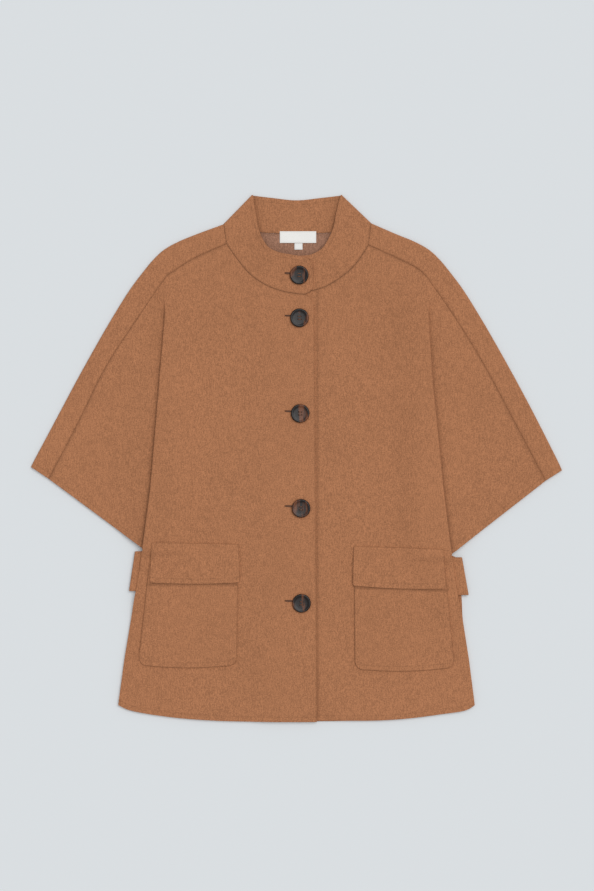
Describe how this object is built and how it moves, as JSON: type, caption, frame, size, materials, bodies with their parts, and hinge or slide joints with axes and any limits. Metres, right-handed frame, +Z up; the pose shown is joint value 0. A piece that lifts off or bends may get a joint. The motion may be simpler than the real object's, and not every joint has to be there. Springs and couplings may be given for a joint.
{
  "type": "wool coat",
  "caption": "Cape-style wool coat laid flat: cut-on wide sleeves, stand collar, centre-front buttons, flapped patch pockets and side straps.",
  "frame": {"origin": "bottom centre of the bounding box, on the surface that the coat lies on", "axes": "+Z up out of the coat's front, +Y from the hem to the collar, +X from the wearer's right to the wearer's left"},
  "size_m": [0.796, 0.79, 0.0164],
  "materials": {
    "wool": "brushed double-faced wool",
    "button": "polished dark horn look",
    "label": "woven satin"
  },
  "bodies": {
    "root": {"back": "wool", "button_1": "button", "button_2": "button", "button_3": "button", "button_4": "button", "button_5": "button", "collar": "wool", "flap_left": "wool", "flap_right": "wool", "front_left": "wool", "front_right": "wool", "neck_label": "label", "pocket_left": "wool", "pocket_right": "wool", "size_tab": "label", "strap_left": "wool", "strap_right": "wool"}
  },
  "joints": []
}
